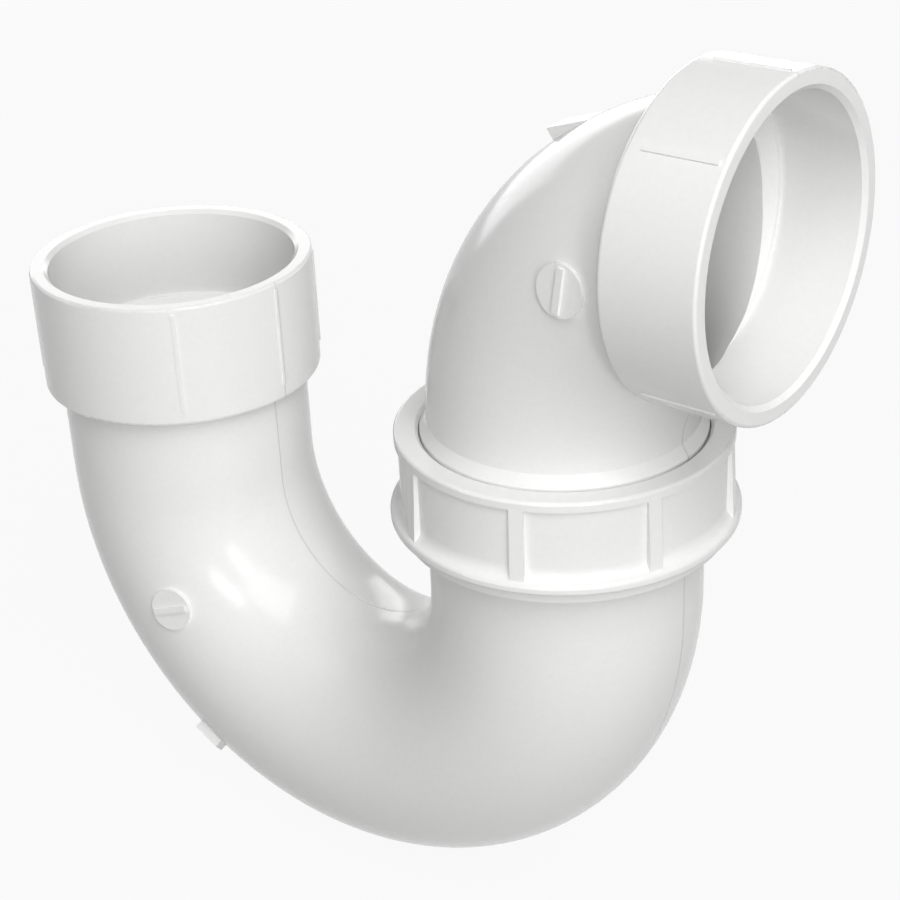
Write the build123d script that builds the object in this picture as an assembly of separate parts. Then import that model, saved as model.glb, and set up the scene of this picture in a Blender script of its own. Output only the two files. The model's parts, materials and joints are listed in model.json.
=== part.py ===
"""Two-inch drain P-trap with a union, in moulded PVC.

The origin is the centre of the inlet socket's stop, where the end of the pipe
seats. +Z is up along the inlet axis, +X runs towards the outlet, and sizes are
in millimetres.
"""
import os

from build123d import *

# Pipe that both sockets take, and the waterway
PIPE_RADIUS = 30.16
PIPE_CLEARANCE = 0.14
INLET_SOCKET_DEPTH = 23.0
OUTLET_SOCKET_DEPTH = 19.05
SOCKET_LEAD_IN = 1.0
SEAT_WIDTH = 1.3
SEAT_TAPER = 2.0
BORE_RADIUS = 26.25

# Hubs
HUB_WALL = 4.2
INLET_HUB_LENGTH = 30.5
OUTLET_HUB_LENGTH = 21.5
HUB_RIM_ROUND = 0.7
HUB_FOOT_ROUND = 1.2

# Alignment ridges on the hubs, above and below their plain flanks
RIDGE_COUNT = 3
RIDGE_SPAN = 90.0
RIDGE_WIDTH = 0.9
RIDGE_HEIGHT = 0.35
RIDGE_RIM_INSET = 1.6
RIDGE_FOOT_INSET = 4.0

# Trap bend
BEND_WALL = 4.35
BEND_RADIUS = 58.5
BEND_DROP = 53.5
BOSS_RISE = 31.4
BOSS_RUNOUT = 1.0
BOSS_EDGE = 0.6

# Union stack, from the end face of the boss upwards
WASHER_THICKNESS = 2.2
FLANGE_THICKNESS = 3.6
NUT_LIP = 2.8

# Union radii, each one fitted outside the one before
NECK_FLARE = 1.55
RUN_CLEARANCE = 0.35
LIP_OVERLAP = 1.5
THREAD_DEPTH = 0.9
NUT_WALL = 1.8
RIB_HEIGHT = 0.8
FOOT_OVERHANG = 2.4

# Union nut
NUT_HEIGHT = 23.7
NUT_RING_HEIGHT = 2.2
NUT_SKIRT_HEIGHT = 2.7
NUT_RIM_ROUND = 0.7
NUT_MOUTH_CHAMFER = 0.7
NUT_LEAD_IN = 0.8
FOOT_HEIGHT = 2.2
FOOT_FLARE = 3.0
FOOT_ROUND = 0.9
THREAD_RELIEF = 0.8
RIB_COUNT = 8
RIB_WIDTH = 3.0
RIB_FIRST_ANGLE = 19.5

# Outlet elbow, with its reach from the end of the turn to the rim of the outlet
ELBOW_WALL = 3.4
ELBOW_RADIUS = 47.5
ELBOW_START = 5.4
FLARE_HEIGHT = 10.0
OUTLET_REACH = 5.5

# Mould marks: round pads on the flanks and gate lugs on the outer curves.
# Each has an angle along its bend and a turn about the tube from the outer line.
PAD_RADIUS = 5.4
PAD_HEIGHT = 0.7
PAD_BAR_WIDTH = 1.5
PAD_BAR_HEIGHT = 0.6
BEND_PAD_ANGLE = 34.0
BEND_PAD_TURN = 106.0
BEND_PAD_BAR_TURN = 74.0
ELBOW_PAD_ANGLE = 58.0
ELBOW_PAD_TURN = 84.0
ELBOW_PAD_BAR_TURN = 52.0
LUG_WIDTH = 7.0
LUG_ROOT = 2.2
BEND_LUG_LENGTH = 7.5
BEND_LUG_RISE = 1.9
BEND_LUG_ANGLE = 61.0
BEND_LUG_TURN = 53.0
ELBOW_LUG_LENGTH = 11.0
ELBOW_LUG_RISE = 2.4
ELBOW_LUG_ANGLE = 57.0

# Radii that follow
SOCKET_RADIUS = PIPE_RADIUS + PIPE_CLEARANCE
HUB_RADIUS = SOCKET_RADIUS + HUB_WALL
BEND_TUBE_RADIUS = BORE_RADIUS + BEND_WALL
ELBOW_TUBE_RADIUS = BORE_RADIUS + ELBOW_WALL
NECK_RADIUS = ELBOW_TUBE_RADIUS + NECK_FLARE
LIP_HOLE_RADIUS = NECK_RADIUS + RUN_CLEARANCE
FLANGE_RADIUS = LIP_HOLE_RADIUS + LIP_OVERLAP
BOSS_RADIUS = FLANGE_RADIUS
NUT_CREST_RADIUS = FLANGE_RADIUS + RUN_CLEARANCE
NUT_BORE_RADIUS = NUT_CREST_RADIUS + THREAD_DEPTH
NUT_PANEL_RADIUS = NUT_BORE_RADIUS + NUT_WALL
NUT_RING_RADIUS = NUT_PANEL_RADIUS + RIB_HEIGHT
NUT_FOOT_RADIUS = NUT_PANEL_RADIUS + FOOT_OVERHANG

# Places that follow
UNION_X = 2 * BEND_RADIUS
RIM_Z = INLET_SOCKET_DEPTH
HUB_FOOT_Z = RIM_Z - INLET_HUB_LENGTH
ARC_Z = RIM_Z - BEND_DROP
BOSS_TOP = ARC_Z + BOSS_RISE
WASHER_TOP = BOSS_TOP + WASHER_THICKNESS
FLANGE_TOP = WASHER_TOP + FLANGE_THICKNESS
NUT_TOP = FLANGE_TOP + NUT_LIP
NUT_BOTTOM = NUT_TOP - NUT_HEIGHT
FOOT_BOTTOM = NUT_BOTTOM + NUT_SKIRT_HEIGHT
BOSS_BOTTOM = NUT_BOTTOM - BOSS_RUNOUT
ELBOW_Z = FLANGE_TOP + ELBOW_START
OUTLET_Z = ELBOW_Z + ELBOW_RADIUS
OUTLET_X = UNION_X + ELBOW_RADIUS + OUTLET_REACH


def turned(points, rounds=None):
    """Solid of revolution about Z from (radius, height) points.

    rounds gives a corner radius for the points named by their index.
    """
    profile = make_face(Polyline(*points, close=True))
    for index, radius in (rounds or {}).items():
        corner = profile.vertices().sort_by_distance(points[index])[0]
        profile = fillet(corner, radius)
    return revolve(Plane.XZ * profile, Axis.Z)


def rod(radius, low, high):
    """Upright cylinder on the Z axis between two heights."""
    return Pos(0, 0, low) * Cylinder(radius, high - low, align=(Align.CENTER, Align.CENTER, Align.MIN))


def u_tube(radius):
    """Half ring of the trap bend, from the union axis down and up to the inlet axis."""
    start = Pos(UNION_X, 0, ARC_Z) * Circle(radius)
    return revolve(start, Axis((BEND_RADIUS, 0, ARC_Z), (0, 1, 0)), 180)


def elbow_tube(radius):
    """Quarter ring of the elbow, from the union axis up and over to the outlet axis."""
    start = Pos(UNION_X, 0, ELBOW_Z) * Rot(0, 0, 90) * Circle(radius)
    return revolve(start, Axis((UNION_X + ELBOW_RADIUS, 0, ELBOW_Z), (0, 1, 0)), 90)


def hub(length):
    """Outside of a hub with its rim at Z = 0, and the alignment ridges along it."""
    body = turned(
        [(0, 0), (HUB_RADIUS, 0), (HUB_RADIUS, -length), (0, -length)],
        {1: HUB_RIM_ROUND, 2: HUB_FOOT_ROUND},
    )
    run = length - RIDGE_RIM_INSET - RIDGE_FOOT_INSET
    ridge = Pos(HUB_RADIUS, 0, -RIDGE_RIM_INSET - run / 2) * Box(2 * RIDGE_HEIGHT, RIDGE_WIDTH, run)
    for middle in (0, 180):
        body += PolarLocations(0, RIDGE_COUNT, middle - RIDGE_SPAN / 2, RIDGE_SPAN, endpoint=True) * ridge
    return body


def socket(depth):
    """Room of a socket below its mouth at Z = 0, with its lead-in, pipe seat and tapered throat."""
    return turned([
        (0, 0),
        (SOCKET_RADIUS + SOCKET_LEAD_IN, 0),
        (SOCKET_RADIUS, -SOCKET_LEAD_IN),
        (SOCKET_RADIUS, -depth),
        (SOCKET_RADIUS - SEAT_WIDTH, -depth),
        (BORE_RADIUS, -depth - SEAT_TAPER),
        (0, -depth - SEAT_TAPER),
    ])


def mould_pad(tube_radius, bar_turn):
    """Round pad with a cross bar, raised from a tube wall that faces +Z and rooted in it."""
    root = Plane.XY.offset(tube_radius - PAD_RADIUS)
    disc = extrude(root * Circle(PAD_RADIUS), PAD_RADIUS + PAD_HEIGHT)
    bar = Rot(0, 0, bar_turn) * Rectangle(2 * PAD_RADIUS - PAD_BAR_WIDTH, PAD_BAR_WIDTH)
    return disc + extrude(root * bar, PAD_RADIUS + PAD_HEIGHT + PAD_BAR_HEIGHT)


def gate_lug(tube_radius, length, near_rise, far_rise):
    """Stub of the gate on a tube wall that faces +Z, between the heights of its two ends."""
    side = make_face(Polyline(
        (-length / 2, -LUG_ROOT),
        (-length / 2, near_rise),
        (length / 2, far_rise),
        (length / 2, -LUG_ROOT),
        close=True,
    ))
    return Pos(0, LUG_WIDTH / 2, tube_radius) * extrude(Plane.XZ * side, LUG_WIDTH)


def on_bend(angle, turn):
    """Frame on the bend's centre line below the inlet side, with +Z out through the wall."""
    out = Pos(BEND_RADIUS, 0, ARC_Z) * Rot(0, -90 - angle, 0) * Pos(0, 0, BEND_RADIUS)
    return out * Rot(turn, 0, 0)


def on_elbow(angle, turn):
    """Frame on the elbow's centre line above the union side, with +Z out through the wall."""
    out = Pos(UNION_X + ELBOW_RADIUS, 0, ELBOW_Z) * Rot(0, angle - 90, 0) * Pos(0, 0, ELBOW_RADIUS)
    return out * Rot(turn, 0, 0)


def make_trap_bend():
    """Inlet hub, U-bend and the boss that carries the union thread."""
    boss = turned(
        [(0, BOSS_BOTTOM), (BOSS_RADIUS, BOSS_BOTTOM), (BOSS_RADIUS, BOSS_TOP), (0, BOSS_TOP)],
        {1: BOSS_EDGE, 2: BOSS_EDGE},
    )
    at_inlet = Pos(0, 0, RIM_Z)
    at_union = Pos(UNION_X, 0, 0)
    body = u_tube(BEND_TUBE_RADIUS)
    body += rod(BEND_TUBE_RADIUS, ARC_Z, HUB_FOOT_Z + HUB_WALL) + at_inlet * hub(INLET_HUB_LENGTH)
    body += at_union * (rod(BEND_TUBE_RADIUS, ARC_Z, BOSS_BOTTOM + BEND_WALL) + boss)
    body += on_bend(BEND_PAD_ANGLE, BEND_PAD_TURN) * mould_pad(BEND_TUBE_RADIUS, BEND_PAD_BAR_TURN)
    lug = gate_lug(BEND_TUBE_RADIUS, BEND_LUG_LENGTH, BEND_LUG_RISE, BEND_LUG_RISE)
    body += on_bend(BEND_LUG_ANGLE, BEND_LUG_TURN) * lug
    body -= u_tube(BORE_RADIUS)
    body -= rod(BORE_RADIUS, ARC_Z, RIM_Z)
    body -= at_union * rod(BORE_RADIUS, ARC_Z, BOSS_TOP)
    body -= at_inlet * socket(INLET_SOCKET_DEPTH)
    return body


def make_union_washer():
    """Flat sealing ring between the boss and the elbow's flange."""
    ring = rod(FLANGE_RADIUS - RUN_CLEARANCE, BOSS_TOP, WASHER_TOP)
    ring -= rod(BORE_RADIUS + RUN_CLEARANCE, BOSS_TOP, WASHER_TOP)
    return Pos(UNION_X, 0, 0) * ring


def make_union_nut():
    """Slip nut with a holding lip, grip ribs and a flared foot."""
    ring_bottom = NUT_TOP - NUT_RING_HEIGHT
    foot_top = FOOT_BOTTOM + FOOT_HEIGHT
    thread_top = BOSS_TOP + THREAD_RELIEF
    body = turned(
        [
            (LIP_HOLE_RADIUS, FLANGE_TOP),
            (LIP_HOLE_RADIUS, NUT_TOP - NUT_MOUTH_CHAMFER),
            (LIP_HOLE_RADIUS + NUT_MOUTH_CHAMFER, NUT_TOP),
            (NUT_RING_RADIUS, NUT_TOP),
            (NUT_RING_RADIUS, ring_bottom),
            (NUT_PANEL_RADIUS, ring_bottom - RIB_HEIGHT / 2),
            (NUT_PANEL_RADIUS, foot_top + FOOT_OVERHANG / 2),
            (NUT_FOOT_RADIUS, foot_top),
            (NUT_FOOT_RADIUS, FOOT_BOTTOM),
            (NUT_PANEL_RADIUS, FOOT_BOTTOM),
            (NUT_PANEL_RADIUS, NUT_BOTTOM),
            (NUT_BORE_RADIUS + NUT_LEAD_IN, NUT_BOTTOM),
            (NUT_BORE_RADIUS, NUT_BOTTOM + NUT_LEAD_IN),
            (NUT_BORE_RADIUS, thread_top),
            (NUT_CREST_RADIUS, thread_top),
            (NUT_CREST_RADIUS, FLANGE_TOP),
        ],
        {3: NUT_RIM_ROUND, 6: FOOT_FLARE, 7: FOOT_ROUND, 8: FOOT_ROUND},
    )
    rib_root = NUT_BORE_RADIUS + NUT_WALL / 2
    rib = make_face(Polyline(
        (rib_root, foot_top),
        (NUT_FOOT_RADIUS - FOOT_ROUND, foot_top),
        (NUT_RING_RADIUS, ring_bottom),
        (rib_root, ring_bottom),
        close=True,
    ))
    rib = Pos(0, RIB_WIDTH / 2, 0) * extrude(Plane.XZ * rib, RIB_WIDTH)
    body += PolarLocations(0, RIB_COUNT, RIB_FIRST_ANGLE) * rib
    return Pos(UNION_X, 0, 0) * body


def make_outlet_elbow():
    """Collar flange, flared neck, quarter bend and outlet hub."""
    flare_top = (BORE_RADIUS + ELBOW_WALL / 2, NUT_TOP + FLARE_HEIGHT)
    neck = make_face([
        Polyline(
            flare_top,
            (0, NUT_TOP + FLARE_HEIGHT),
            (0, WASHER_TOP),
            (FLANGE_RADIUS, WASHER_TOP),
            (FLANGE_RADIUS, FLANGE_TOP),
            (NECK_RADIUS, FLANGE_TOP),
            (NECK_RADIUS, NUT_TOP),
        ),
        TangentArc(flare_top, (NECK_RADIUS, NUT_TOP), tangent=(0, -1)),
    ])
    at_outlet = Pos(OUTLET_X, 0, OUTLET_Z) * Rot(0, 90, 0)
    at_union = Pos(UNION_X, 0, 0)
    body = elbow_tube(ELBOW_TUBE_RADIUS) + at_outlet * hub(OUTLET_HUB_LENGTH)
    body += at_union * (rod(ELBOW_TUBE_RADIUS, FLANGE_TOP, ELBOW_Z) + revolve(Plane.XZ * neck, Axis.Z))
    body += on_elbow(ELBOW_PAD_ANGLE, ELBOW_PAD_TURN) * mould_pad(ELBOW_TUBE_RADIUS, ELBOW_PAD_BAR_TURN)
    lug = gate_lug(ELBOW_TUBE_RADIUS, ELBOW_LUG_LENGTH, ELBOW_LUG_RISE, -LUG_ROOT / 4)
    body += on_elbow(ELBOW_LUG_ANGLE, 0) * lug
    body -= elbow_tube(BORE_RADIUS)
    body -= at_union * rod(BORE_RADIUS, WASHER_TOP, ELBOW_Z)
    body -= at_outlet * rod(BORE_RADIUS, -OUTLET_REACH, 0)
    body -= at_outlet * socket(OUTLET_SOCKET_DEPTH)
    return body


def main():
    """Write each piece to its own STEP file."""
    os.makedirs("parts", exist_ok=True)
    pieces = {
        "trap_bend": make_trap_bend(),
        "union_washer": make_union_washer(),
        "union_nut": make_union_nut(),
        "outlet_elbow": make_outlet_elbow(),
    }
    for name, piece in pieces.items():
        export_step(piece, f"parts/{name}.step")


main()
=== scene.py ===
"""Dresses a moulded PVC drain trap with a union: finishes, union threads and a studio."""

import json
import logging
import math
from contextlib import contextmanager
from dataclasses import dataclass
from dataclasses import field
from enum import Enum
from enum import IntEnum
from typing import Callable
from typing import Iterator
from typing import Mapping
from typing import Optional
from typing import Sequence
from typing import Union

import bmesh
import bpy
from mathutils import Matrix
from mathutils import Vector


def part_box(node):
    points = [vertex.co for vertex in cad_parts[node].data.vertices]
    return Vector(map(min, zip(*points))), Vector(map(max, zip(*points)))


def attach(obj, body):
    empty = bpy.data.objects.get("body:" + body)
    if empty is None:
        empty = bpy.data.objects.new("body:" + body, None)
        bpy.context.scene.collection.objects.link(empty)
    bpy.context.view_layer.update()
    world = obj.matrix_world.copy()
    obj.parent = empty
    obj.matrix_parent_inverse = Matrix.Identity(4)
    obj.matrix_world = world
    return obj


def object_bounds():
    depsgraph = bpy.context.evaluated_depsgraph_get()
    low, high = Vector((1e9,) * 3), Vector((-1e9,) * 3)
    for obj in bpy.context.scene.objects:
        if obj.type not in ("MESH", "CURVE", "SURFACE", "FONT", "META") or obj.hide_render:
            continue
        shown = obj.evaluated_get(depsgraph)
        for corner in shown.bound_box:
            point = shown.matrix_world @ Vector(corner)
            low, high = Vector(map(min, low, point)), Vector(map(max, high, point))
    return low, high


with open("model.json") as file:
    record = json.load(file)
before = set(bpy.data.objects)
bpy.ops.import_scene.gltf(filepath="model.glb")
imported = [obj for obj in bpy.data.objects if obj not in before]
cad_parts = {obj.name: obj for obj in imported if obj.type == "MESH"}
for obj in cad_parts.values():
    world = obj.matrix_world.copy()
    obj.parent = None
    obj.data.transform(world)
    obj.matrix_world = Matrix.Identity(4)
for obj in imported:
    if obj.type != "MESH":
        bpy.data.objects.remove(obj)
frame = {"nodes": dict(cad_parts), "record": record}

CAD_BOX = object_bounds()
MM = 0.001
MERGE_DISTANCE = 0.001 * MM
THREAD_PITCH = 5.1 * MM
PROFILE_CORNERS = 4
ORIGIN = (0.0, 0.0, 0.0)
WHITE = (1.0, 1.0, 1.0, 1.0)

log = logging.getLogger("trap")

Colour = tuple[float, float, float, float]
Operand = Union["Shade", float, int, Sequence[float]]


class Shade:
    """A shader value: wraps an output socket, so that maths on it adds Math nodes."""

    def __init__(self, board: "Board", socket: Optional[bpy.types.NodeSocket]) -> None:
        """Keeps the board that holds the node and the socket that gives the value."""
        self.board = board
        self.socket = socket

    def other(self, name: str) -> "Shade":
        """Gives another output of the same node."""
        return Shade(self.board, self.socket.node.outputs[name])

    def maths(self, operation: str, first: Operand, second: Operand = 0.0) -> "Shade":
        """Adds one Math node.

        Args:
            operation: name of the Math node's operation.
            first: upper operand.
            second: lower operand.

        Returns:
            The result as a shader value.
        """
        return self.board.add("ShaderNodeMath", {"operation": operation}, {0: first, 1: second})

    def __add__(self, right: Operand) -> "Shade":
        """Gives self + right."""
        return self.maths("ADD", self, right)

    def __radd__(self, left: Operand) -> "Shade":
        """Gives left + self."""
        return self.maths("ADD", left, self)

    def __sub__(self, right: Operand) -> "Shade":
        """Gives self - right."""
        return self.maths("SUBTRACT", self, right)

    def __rsub__(self, left: Operand) -> "Shade":
        """Gives left - self."""
        return self.maths("SUBTRACT", left, self)

    def __mul__(self, right: Operand) -> "Shade":
        """Gives self * right."""
        return self.maths("MULTIPLY", self, right)

    def __rmul__(self, left: Operand) -> "Shade":
        """Gives left * self."""
        return self.maths("MULTIPLY", left, self)

    def __gt__(self, right: Operand) -> "Shade":
        """Gives 1 where self is greater than right, and 0 elsewhere."""
        return self.maths("GREATER_THAN", self, right)

    def __abs__(self) -> "Shade":
        """Gives the size of self without its sign."""
        return self.maths("ABSOLUTE", self)

    def root(self) -> "Shade":
        """Gives the square root of self."""
        return self.maths("SQRT", self)

    def lower(self, right: Operand) -> "Shade":
        """Gives the smaller of self and right."""
        return self.maths("MINIMUM", self, right)

    def higher(self, right: Operand) -> "Shade":
        """Gives the larger of self and right."""
        return self.maths("MAXIMUM", self, right)

    def between(self, low: float, high: float) -> "Shade":
        """Gives a smooth rise from 0 at low to 1 at high, or a fall where low is larger."""
        settings = {"interpolation_type": "SMOOTHSTEP"}
        ends = {"Value": self, "From Min": min(low, high), "From Max": max(low, high)}
        rise = self.board.add("ShaderNodeMapRange", settings, ends)
        return 1.0 - rise if low > high else rise


class MixSocket(IntEnum):
    """Numbers of the sockets of a Mix node that mixes colours."""

    AMOUNT = 0
    RESULT = 2
    LOW = 6
    HIGH = 7


class Board:
    """A node tree that is filled through one method."""

    def __init__(self, tree: bpy.types.NodeTree) -> None:
        """Empties the tree and keeps it."""
        self.tree = tree
        tree.nodes.clear()

    def add(
        self,
        kind: str,
        settings: Optional[Mapping[str, object]] = None,
        sockets: Optional[Mapping[Union[str, int], Operand]] = None,
        output: Union[str, int] = 0,
    ) -> Shade:
        """Adds a node, sets it up and links it.

        Args:
            kind: type name of the node.
            settings: properties of the node, set before its sockets.
            sockets: values or links of the input sockets, by name or number.
            output: the output that the result wraps, by name or number.

        Returns:
            The chosen output as a shader value, or an empty one where the node has none.
        """
        node = self.tree.nodes.new(kind)
        for name, value in (settings or {}).items():
            setattr(node, name, value)
        for name, value in (sockets or {}).items():
            if isinstance(value, Shade):
                self.tree.links.new(value.socket, node.inputs[name])
            else:
                node.inputs[name].default_value = value
        return Shade(self, node.outputs[output] if len(node.outputs) else None)

    def place(self) -> Shade:
        """Gives the Object coordinates, in metres in the frame of the part."""
        return self.add("ShaderNodeTexCoord", output="Object")

    def seen(self) -> Shade:
        """Gives 1 for camera, glossy and transmission rays, and 0 for all others."""
        camera = self.add("ShaderNodeLightPath", output="Is Camera Ray")
        glossy = camera.other("Is Glossy Ray")
        return camera.higher(glossy).higher(camera.other("Is Transmission Ray"))

    def axes(self, place: Shade) -> tuple[Shade, Shade, Shade]:
        """Splits a place into its three coordinates.

        Args:
            place: a vector value.

        Returns:
            The X, Y and Z values.
        """
        split = self.add("ShaderNodeSeparateXYZ", None, {0: place}, "X")
        return split, split.other("Y"), split.other("Z")

    def cloud(self, place: Shade, grain: float, detail: float) -> Shade:
        """Adds a smooth noise.

        Args:
            place: the coordinates that it reads.
            grain: size of one cell in metres.
            detail: number of finer layers.

        Returns:
            A value about 0.5 on average.
        """
        sockets = {"Vector": place, "Scale": 1.0 / grain, "Detail": detail}
        return self.add("ShaderNodeTexNoise", None, sockets)

    def tint(
        self, amount: Shade, low: Union[Shade, Colour], high: Union[Shade, Colour]
    ) -> Shade:
        """Mixes two colours.

        Args:
            amount: 0 for the first colour and 1 for the second.
            low: first colour.
            high: second colour.

        Returns:
            The mixed colour.
        """
        sockets = {MixSocket.AMOUNT: amount, MixSocket.LOW: low, MixSocket.HIGH: high}
        return self.add("ShaderNodeMix", {"data_type": "RGBA"}, sockets, MixSocket.RESULT)

    def bump(
        self, height: Shade, depth: float, strength: float, normal: Optional[Shade] = None
    ) -> Shade:
        """Turns a height value into a normal.

        Args:
            height: height of the surface, from 0 to 1.
            depth: height in metres that a value of 1 stands for.
            strength: share of the effect.
            normal: a normal that is bent already, where there is one.

        Returns:
            The bent normal.
        """
        sockets = {"Height": height, "Distance": depth, "Strength": strength}
        if normal is not None:
            sockets["Normal"] = normal
        return self.add("ShaderNodeBump", None, sockets)


SeamRule = Callable[[Board, Shade], Shade]


def new_material(name: str) -> tuple[bpy.types.Material, Board]:
    """Makes an empty material.

    Args:
        name: name of the material.

    Returns:
        The material and the board for its nodes.
    """
    made = bpy.data.materials.new(name)
    made.use_nodes = True
    return made, Board(made.node_tree)


@dataclass(frozen=True)
class MouldedPvc:
    """White injection-moulded PVC with a soft gloss, and painted shade along the mould's parting
    line where one is given.
    """

    name: str
    white: Colour = (0.905, 0.905, 0.898, 1.0)
    shade: Colour = (0.89, 0.89, 0.882, 1.0)
    roughness: float = 0.16
    roughness_swing: float = 0.04
    refraction: float = 1.53
    gloss_level: float = 0.26
    speck_grain: float = 0.0011
    speck_detail: float = 2.0
    speck_range: tuple[float, float] = (0.3, 0.7)
    peel_grain: float = 0.006
    peel_detail: float = 1.5
    peel_depth: float = 0.000004
    peel_strength: float = 0.6
    # Colour and share of the painted shade that darkens the parting line's colour.
    seam_painted_shade: Colour = (0.70, 0.70, 0.685, 1.0)
    seam_shade_share: float = 0.5
    seam_depth: float = 0.00012
    seam_strength: float = 0.8

    def material(self, seam: Optional[SeamRule] = None) -> bpy.types.Material:
        """Makes the material.

        Args:
            seam: rule that gives 1 on the mould's parting line and 0 elsewhere.

        Returns:
            The finished material.
        """
        made, board = new_material(self.name)
        place = board.place()
        speck = board.cloud(place, self.speck_grain, self.speck_detail).between(*self.speck_range)
        colour = board.tint(speck, self.white, self.shade)
        peel = board.cloud(place, self.peel_grain, self.peel_detail)
        normal = board.bump(peel, self.peel_depth, self.peel_strength)
        if seam is not None:
            line = seam(board, place)
            # Painted shade: the parting line's colour is darkened; its real raised relief is the
            # bump on the next line.
            colour = board.tint(line * self.seam_shade_share, colour, self.seam_painted_shade)
            normal = board.bump(line, self.seam_depth, self.seam_strength, normal)
        shader = board.add(
            "ShaderNodeBsdfPrincipled",
            None,
            {
                "Base Color": colour,
                "Roughness": self.roughness + self.roughness_swing * speck,
                "IOR": self.refraction,
                "Specular IOR Level": self.gloss_level,
                "Normal": normal,
            },
        )
        board.add("ShaderNodeOutputMaterial", None, {"Surface": shader})
        return made


@dataclass(frozen=True)
class BlackRubber:
    """Matt black elastomer of the sealing washer."""

    name: str
    black: Colour = (0.028, 0.028, 0.029, 1.0)
    bloom: Colour = (0.075, 0.075, 0.072, 1.0)
    bloom_grain: float = 0.006
    bloom_detail: float = 4.0
    bloom_range: tuple[float, float] = (0.5, 0.8)
    roughness: float = 0.62
    roughness_swing: float = 0.2
    skin_grain: float = 0.0005
    skin_detail: float = 2.0
    skin_depth: float = 0.00003
    skin_strength: float = 0.7

    def material(self) -> bpy.types.Material:
        """Makes the material, black with a faint grey bloom and a fine skin."""
        made, board = new_material(self.name)
        place = board.place()
        bloom = board.cloud(place, self.bloom_grain, self.bloom_detail).between(*self.bloom_range)
        skin = board.cloud(place, self.skin_grain, self.skin_detail)
        shader = board.add(
            "ShaderNodeBsdfPrincipled",
            None,
            {
                "Base Color": board.tint(bloom, self.black, self.bloom),
                "Roughness": self.roughness + self.roughness_swing * bloom,
                "Normal": board.bump(skin, self.skin_depth, self.skin_strength),
            },
        )
        board.add("ShaderNodeOutputMaterial", None, {"Surface": shader})
        return made


@dataclass(frozen=True)
class StudioPaper:
    """Pale seamless floor, which the camera sees near white with the shadow left on it."""

    name: str
    paper: Colour = (0.42, 0.42, 0.42, 1.0)
    whitening: float = 0.93

    def material(self) -> bpy.types.Material:
        """Makes the material, whitened for camera, glossy and transmission rays alone."""
        made, board = new_material(self.name)
        amount = board.seen() * self.whitening
        matt = board.add("ShaderNodeBsdfDiffuse", None, {"Color": self.paper})
        glow = board.add("ShaderNodeEmission", None, {"Color": WHITE, "Strength": 1.0})
        mixed = board.add("ShaderNodeMixShader", None, {0: amount, 1: matt, 2: glow})
        board.add("ShaderNodeOutputMaterial", None, {"Surface": mixed})
        return made


def deselect_all() -> None:
    """Leaves object mode and clears the selection."""
    if bpy.context.mode != "OBJECT":
        bpy.ops.object.mode_set(mode="OBJECT")
    bpy.ops.object.select_all(action="DESELECT")


def choose(piece: bpy.types.Object) -> None:
    """Makes a piece the active one, and the only one that is selected.

    Args:
        piece: the object.
    """
    deselect_all()
    piece.select_set(True)
    bpy.context.view_layer.objects.active = piece


@contextmanager
def editing(piece: bpy.types.Object) -> Iterator[None]:
    """Opens a piece in edit mode with all of it selected, and closes it afterwards.

    Args:
        piece: the mesh object to edit.
    """
    choose(piece)
    bpy.ops.object.mode_set(mode="EDIT")
    bpy.ops.mesh.select_mode(type="VERT")
    bpy.ops.mesh.select_all(action="SELECT")
    yield
    bpy.ops.object.mode_set(mode="OBJECT")


def pick(piece: bpy.types.Object, rule: Callable[[Vector], bool]) -> None:
    """Selects the vertices of a piece in edit mode by their place.

    Args:
        piece: the mesh object that is open in edit mode.
        rule: test of a vertex's place.
    """
    bpy.ops.mesh.select_all(action="DESELECT")
    mesh = bmesh.from_edit_mesh(piece.data)
    for vertex in mesh.verts:
        vertex.select_set(rule(vertex.co))
    mesh.select_flush_mode()
    bmesh.update_edit_mesh(piece.data)


def settle(piece: bpy.types.Object, smooth_angle: float) -> None:
    """Puts a piece's place into its mesh, closes its seams and smooths its round faces.

    Args:
        piece: the mesh object.
        smooth_angle: largest angle between faces that is shaded smooth, in degrees.
    """
    choose(piece)
    bpy.ops.object.transform_apply(location=True, rotation=True, scale=True)
    with editing(piece):
        bpy.ops.mesh.remove_doubles(threshold=MERGE_DISTANCE)
        bpy.ops.mesh.normals_make_consistent(inside=False)
    bpy.ops.object.shade_smooth_by_angle(angle=math.radians(smooth_angle))


def paint(piece: bpy.types.Object, material: bpy.types.Material) -> None:
    """Gives a piece one material in all its slots.

    Args:
        piece: the mesh object.
        material: the finish.
    """
    if not piece.material_slots:
        piece.data.materials.append(material)
    for slot in piece.material_slots:
        slot.material = material


class ThreadSide(Enum):
    """Which way the crest of a thread points."""

    OUTWARD = 1
    INWARD = -1


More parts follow.
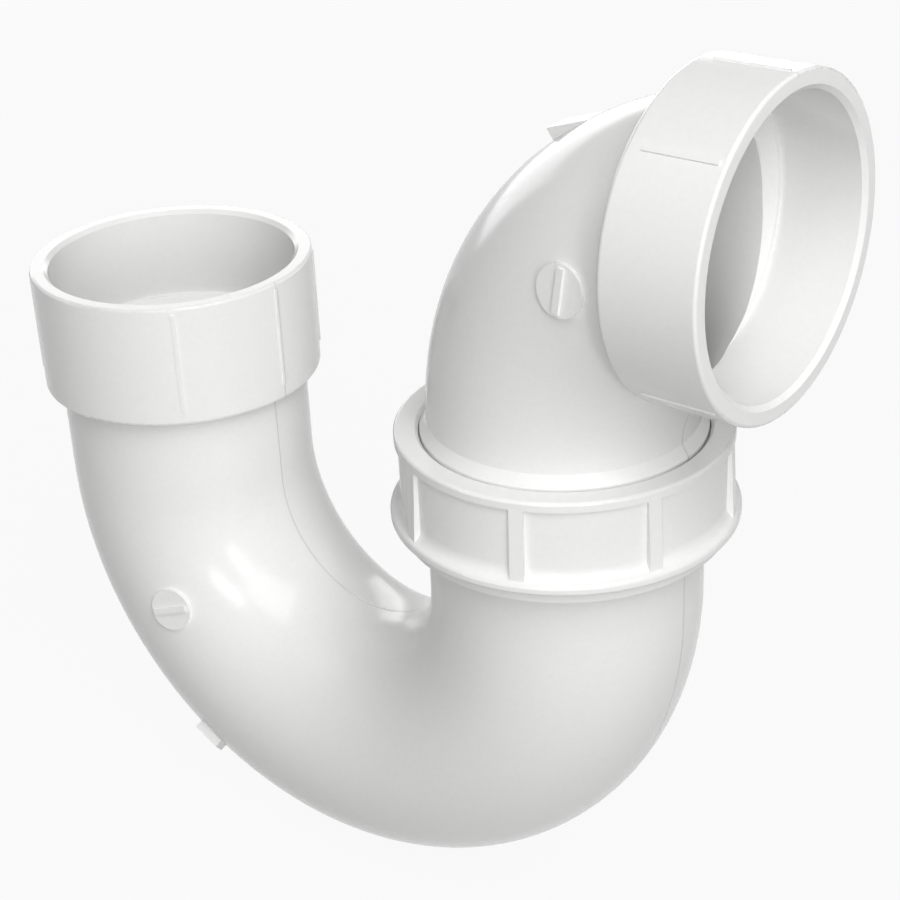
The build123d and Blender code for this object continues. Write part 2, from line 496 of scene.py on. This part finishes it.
@dataclass
class ScrewThread:
    """One start of a right-hand thread about an upright axis."""

    name: str
    side: ThreadSide
    wall_radius: float
    crest_radius: float
    first_height: float
    turns: float
    axis_x: float
    pitch: float = THREAD_PITCH
    root_width: float = 2.5 * MM
    crest_width: float = 1.2 * MM
    bite: float = 0.15 * MM
    steps_per_turn: int = 96
    run_in_steps: int = 5
    smooth_angle: float = 30.0

    @property
    def root_radius(self) -> float:
        """Radius of the profile's base, set a little into the wall that carries it."""
        return self.wall_radius - self.side.value * self.bite

    @property
    def last_step(self) -> int:
        """Number of the last column along the helix."""
        return round(self.turns * self.steps_per_turn)

    def column(self, step: int) -> tuple[float, float]:
        """Gives the angle and the height of the profile's middle after a number of steps."""
        angle = math.tau * step / self.steps_per_turn
        return angle, self.first_height + self.pitch * angle / math.tau

    def draw_profile(self) -> bpy.types.Object:
        """Draws the outline of a trapezoid that stands on the wall where the helix starts.

        Returns:
            The new piece, which is the outline alone.
        """
        deselect_all()
        upright = (math.pi / 2, 0.0, 0.0)
        bpy.ops.mesh.primitive_plane_add(size=1.0, location=ORIGIN, rotation=upright)
        piece = bpy.context.active_object
        piece.name = self.name
        bpy.ops.object.transform_apply(location=True, rotation=True, scale=True)
        middle = (self.root_radius + self.crest_radius) / 2
        start = (middle, 0.0, self.first_height)
        section = (abs(self.crest_radius - self.root_radius), 1.0, self.root_width)
        taper = (1.0, 1.0, self.crest_width / self.root_width)
        with editing(piece):
            bpy.ops.transform.resize(value=section, center_override=ORIGIN)
            bpy.ops.transform.translate(value=start)
            pick(piece, lambda spot: (spot.x - middle) * self.side.value > 0.0)
            bpy.ops.transform.resize(value=taper, center_override=start)
            bpy.ops.mesh.select_all(action="SELECT")
            bpy.ops.mesh.delete(type="ONLY_FACE")
        return piece

    def sweep(self, piece: bpy.types.Object) -> None:
        """Draws the profile along the helix.

        Args:
            piece: the profile, which is the active object.
        """
        helix = piece.modifiers.new("helix", "SCREW")
        helix.axis = "Z"
        helix.angle = math.tau * self.last_step / self.steps_per_turn
        helix.screw_offset = self.pitch * self.last_step / self.steps_per_turn
        helix.steps = self.last_step
        helix.render_steps = self.last_step
        bpy.ops.object.modifier_apply(modifier=helix.name)

    def lower_crest(self, piece: bpy.types.Object, step: int, share: float) -> None:
        """Moves the crest of one column towards the wall.

        Args:
            piece: the thread, open in edit mode.
            step: number of the column along the helix.
            share: part of the crest's height that is taken off.
        """
        angle, height = self.column(step)
        outward = Vector((math.cos(angle), math.sin(angle), 0.0))
        crest = outward * self.crest_radius + Vector((0.0, 0.0, height))
        pick(piece, lambda spot: (spot - crest).length < self.crest_width)
        move = outward * (self.root_radius - self.crest_radius) * share
        bpy.ops.transform.translate(value=move)

    def build(self) -> bpy.types.Object:
        """Models the thread: its profile, drawn along the helix, with both ends run in.

        Returns:
            The finished piece.
        """
        piece = self.draw_profile()
        self.sweep(piece)
        with editing(piece):
            bpy.ops.mesh.fill_holes(sides=PROFILE_CORNERS)
            for step in range(self.run_in_steps):
                share = 1.0 - step / self.run_in_steps
                self.lower_crest(piece, step, share)
                self.lower_crest(piece, self.last_step - step, share)
        piece.location.x = self.axis_x
        settle(piece, self.smooth_angle)
        return piece


@dataclass
class UnionPlace:
    """Where the union stands: its axis, the end of the boss, and the thread below that end."""

    axis_x: float
    boss_top: float
    thread_drop: float = 14.15 * MM
    thread_height: float = 0.85 * MM

    @property
    def thread_start(self) -> float:
        """Height of the lower end of the boss thread."""
        return self.boss_top - self.thread_drop

    @classmethod
    def under(cls, washer: str) -> "UnionPlace":
        """Finds the place from the washer, which lies on the end of the boss.

        Args:
            washer: name of the washer's node.

        Returns:
            The place of the union.
        """
        low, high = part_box(washer)
        return cls((low[0] + high[0]) / 2, low[2])


@dataclass(frozen=True)
class PartingLine:
    """Fine raised line that the halves of the mould leave in the plane of a bend."""

    half_width: float = 0.35 * MM
    full_share: float = 0.3

    def mark(self, y: Shade, off_centre: Shade, wall: Shade) -> Shade:
        """Marks the line on the outside of a moulding.

        Args:
            y: distance from the plane of the bend.
            off_centre: distance from the bend's centre line within that plane.
            wall: distance at which the middle of the wall lies.

        Returns:
            1 on the line and 0 elsewhere.
        """
        line = abs(y).between(self.half_width, self.full_share * self.half_width)
        return line * (off_centre > wall)


@dataclass
class TrapBend:
    """Inlet hub, U bend and threaded boss, in one moulding."""

    node: bpy.types.Object
    pvc: MouldedPvc
    union: UnionPlace
    tube_radius: float = 30.6 * MM
    wall: float = 4.35 * MM
    hub_length: float = 30.5 * MM
    hub_step: float = 5.2 * MM
    parting: PartingLine = PartingLine()
    boss_radius: float = 33.05 * MM
    thread_turns: float = 2.4
    thread: Optional[bpy.types.Object] = field(default=None, init=False)

    @property
    def bend_radius(self) -> float:
        """Radius of the bend's centre line, half the way from the inlet axis to the union."""
        return self.union.axis_x / 2

    @property
    def bend_height(self) -> float:
        """Height of the bend's centre, above its lowest point."""
        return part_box("trap_bend")[0][2] + self.tube_radius + self.bend_radius

    @property
    def hub_foot(self) -> float:
        """Height of the inlet hub's lower end."""
        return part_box("trap_bend")[1][2] - self.hub_length

    def seam(self, board: Board, place: Shade) -> Shade:
        """Marks the parting line on the outside of the moulding.

        Args:
            board: the tree to add nodes to.
            place: Object coordinates.

        Returns:
            1 on the line and 0 elsewhere.
        """
        x, y, z = board.axes(place)
        aside = x - self.bend_radius
        below = (z - self.bend_height).lower(0.0)
        off_centre = abs((aside * aside + below * below).root() - self.bend_radius)
        wall = self.tube_radius - self.wall / 2 + self.hub_step * (z > self.hub_foot)
        return self.parting.mark(y, off_centre, wall)

    def build(self) -> None:
        """Models the male thread on the boss."""
        self.thread = ScrewThread(
            "boss_thread",
            ThreadSide.OUTWARD,
            self.boss_radius,
            self.boss_radius + self.union.thread_height,
            self.union.thread_start,
            self.thread_turns,
            self.union.axis_x,
        ).build()
        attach(self.thread, "trap_bend")

    def dress(self) -> None:
        """Gives the moulding and its thread their finish."""
        material = self.pvc.material(self.seam)
        paint(self.node, material)
        paint(self.thread, material)


@dataclass
class UnionNut:
    """Ribbed slip nut with its female thread."""

    node: bpy.types.Object
    pvc: MouldedPvc
    union: UnionPlace
    bore_radius: float = 34.3 * MM
    thread_turns: float = 2.0
    thread: Optional[bpy.types.Object] = field(default=None, init=False)

    def build(self) -> None:
        """Models the female thread, half a pitch above the boss thread that it runs in."""
        self.thread = ScrewThread(
            "nut_thread",
            ThreadSide.INWARD,
            self.bore_radius,
            self.bore_radius - self.union.thread_height,
            self.union.thread_start + THREAD_PITCH / 2,
            self.thread_turns,
            self.union.axis_x,
        ).build()
        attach(self.thread, "union_nut")

    def dress(self) -> None:
        """Gives the nut and its thread their finish."""
        material = self.pvc.material()
        paint(self.node, material)
        paint(self.thread, material)


@dataclass
class OutletElbow:
    """Flanged neck, quarter bend and outlet hub, in one moulding."""

    node: bpy.types.Object
    pvc: MouldedPvc
    union: UnionPlace
    outlet_z: float
    bend_radius: float = 47.5 * MM
    mid_wall: float = 28.0 * MM
    hub_length: float = 21.5 * MM
    hub_step: float = 5.6 * MM
    parting: PartingLine = PartingLine()

    @property
    def turn_x(self) -> float:
        """Place of the bend's centre along X, one bend radius past the union's axis."""
        return self.union.axis_x + self.bend_radius

    @property
    def turn_z(self) -> float:
        """Height of the bend's centre, one bend radius below the outlet's axis."""
        return self.outlet_z - self.bend_radius

    @property
    def hub_foot(self) -> float:
        """Place of the outlet hub's inner end along X."""
        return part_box("outlet_elbow")[1][0] - self.hub_length

    def seam(self, board: Board, place: Shade) -> Shade:
        """Marks the parting line on the outside of the moulding.

        Args:
            board: the tree to add nodes to.
            place: Object coordinates.

        Returns:
            1 on the line and 0 elsewhere.
        """
        x, y, z = board.axes(place)
        before = (self.turn_x - x).higher(0.0)
        above = (z - self.turn_z).higher(0.0)
        off_centre = abs((before * before + above * above).root() - self.bend_radius)
        wall = self.mid_wall + self.hub_step * (x > self.hub_foot)
        return self.parting.mark(y, off_centre, wall)

    def dress(self) -> None:
        """Gives the moulding its finish."""
        paint(self.node, self.pvc.material(self.seam))


@dataclass
class UnionWasher:
    """Flat sealing ring inside the union."""

    node: bpy.types.Object
    rubber: BlackRubber

    def dress(self) -> None:
        """Gives the ring its finish."""
        paint(self.node, self.rubber.material())


def direction(azimuth: float, elevation: float) -> Vector:
    """Gives the direction from the object to a place round it.

    Args:
        azimuth: turn about +Z in degrees, 0 in front of the object on -Y.
        elevation: height above the horizon in degrees.

    Returns:
        A unit vector.
    """
    turn = math.radians(azimuth)
    rise = math.radians(elevation)
    level = math.cos(rise)
    return Vector((math.sin(turn) * level, -math.cos(turn) * level, math.sin(rise)))


@dataclass
class SoftBox:
    """A flat studio lamp that faces the object, with its power in watts."""

    name: str
    azimuth: float
    elevation: float
    width: float
    height: float
    power: float
    distance: float = 1.2

    def hang(self, aim: Vector) -> None:
        """Puts the lamp up.

        Args:
            aim: the point that it faces.
        """
        toward = direction(self.azimuth, self.elevation)
        bpy.ops.object.light_add(type="AREA", location=aim + toward * self.distance)
        lamp = bpy.context.active_object
        lamp.name = self.name
        lamp.rotation_euler = toward.to_track_quat("Z", "Y").to_euler()
        lamp.data.shape = "RECTANGLE"
        lamp.data.size = self.width
        lamp.data.size_y = self.height
        lamp.data.energy = self.power


@dataclass
class Studio:
    """Floor, lamps, white surround and camera."""

    aim_off_middle: Vector = field(default_factory=lambda: Vector((17.5, 0.0, 5.55)) * MM)
    azimuth: float = 39.05
    elevation: float = 27.68
    roll: float = -2.83
    distance: float = 441.6 * MM
    lens: float = 77.3
    clip_start: float = 10.0 * MM
    floor_side: float = 6.0
    ambient: float = 0.03
    lamps: tuple[SoftBox, ...] = (
        SoftBox("key_lamp", 58.0, 52.0, 0.9, 0.9, 9.4),
        SoftBox("left_window", 29.0, 17.0, 0.22, 0.55, 3.1),
        SoftBox("right_window", 57.0, 17.0, 0.22, 0.55, 2.9),
        SoftBox("back_lamp", 150.0, 36.0, 0.7, 0.7, 1.5),
        SoftBox("rear_lamp", 232.0, 13.0, 1.4, 0.5, 5.8),
        SoftBox("left_lamp", -50.0, 45.0, 0.7, 0.7, 1.2),
    )

    @property
    def aim(self) -> Vector:
        """Point that the camera and the lamps face, a little off the middle of the object."""
        low, high = CAD_BOX
        return (Vector(low) + Vector(high)) / 2 + self.aim_off_middle

    def lay_floor(self) -> None:
        """Lays the floor under the lowest point of the object."""
        deselect_all()
        spot = (self.aim.x, self.aim.y, CAD_BOX[0][2])
        bpy.ops.mesh.primitive_plane_add(size=self.floor_side, location=spot)
        floor = bpy.context.active_object
        floor.name = "studio_floor"
        paint(floor, StudioPaper("studio_paper").material())

    def surround_with_white(self) -> None:
        """Makes the world white to the camera and in reflections, and a dim light elsewhere."""
        world = bpy.data.worlds.new("studio_surround")
        world.use_nodes = True
        board = Board(world.node_tree)
        dim_light = {"Color": WHITE, "Strength": self.ambient}
        dim = board.add("ShaderNodeBackground", None, dim_light)
        bright = board.add("ShaderNodeBackground", None, {"Color": WHITE, "Strength": 1.0})
        mixed = board.add("ShaderNodeMixShader", None, {0: board.seen(), 1: dim, 2: bright})
        board.add("ShaderNodeOutputWorld", None, {"Surface": mixed})
        bpy.context.scene.world = world

    def set_camera(self) -> None:
        """Stands the camera where the photograph was taken from."""
        back = direction(self.azimuth, self.elevation)
        level = Vector((0.0, 0.0, 1.0)).cross(back).normalized()
        upward = back.cross(level)
        tilt = math.radians(self.roll)
        right = level * math.cos(tilt) + upward * math.sin(tilt)
        top = upward * math.cos(tilt) - level * math.sin(tilt)
        bpy.ops.object.camera_add()
        camera = bpy.context.active_object
        camera.name = "photo_camera"
        stand = Matrix((right, top, back)).transposed().to_4x4()
        stand.translation = self.aim + back * self.distance
        camera.matrix_world = stand
        camera.data.lens = self.lens
        camera.data.clip_start = self.clip_start
        bpy.context.scene.camera = camera

    def build(self) -> None:
        """Sets up the whole studio."""
        self.lay_floor()
        self.surround_with_white()
        for lamp in self.lamps:
            lamp.hang(self.aim)
        self.set_camera()
        bpy.context.scene.view_settings.view_transform = "Standard"


def main() -> None:
    """Builds and dresses each sub-assembly, then the studio."""
    logging.basicConfig(level=logging.INFO, format="%(name)s: %(message)s")
    nodes = frame["nodes"]
    mounts = {mount["name"]: mount for mount in frame["record"]["mounts"]}
    outlet_z = mounts["outlet_socket"]["pos_m"][2]
    union = UnionPlace.under("union_washer")
    bend = TrapBend(nodes["trap_bend"], MouldedPvc("bend_pvc"), union)
    nut = UnionNut(nodes["union_nut"], MouldedPvc("nut_pvc"), union)
    elbow = OutletElbow(nodes["outlet_elbow"], MouldedPvc("elbow_pvc"), union, outlet_z)
    washer = UnionWasher(nodes["union_washer"], BlackRubber("washer_rubber"))
    for threaded in (bend, nut):
        threaded.build()
        log.info("%s: %d faces", threaded.thread.name, len(threaded.thread.data.polygons))
    for piece in (bend, nut, elbow, washer):
        piece.dress()
        log.info("dressed %s", piece.node.name)
    Studio().build()


if __name__ == "__main__":
    main()
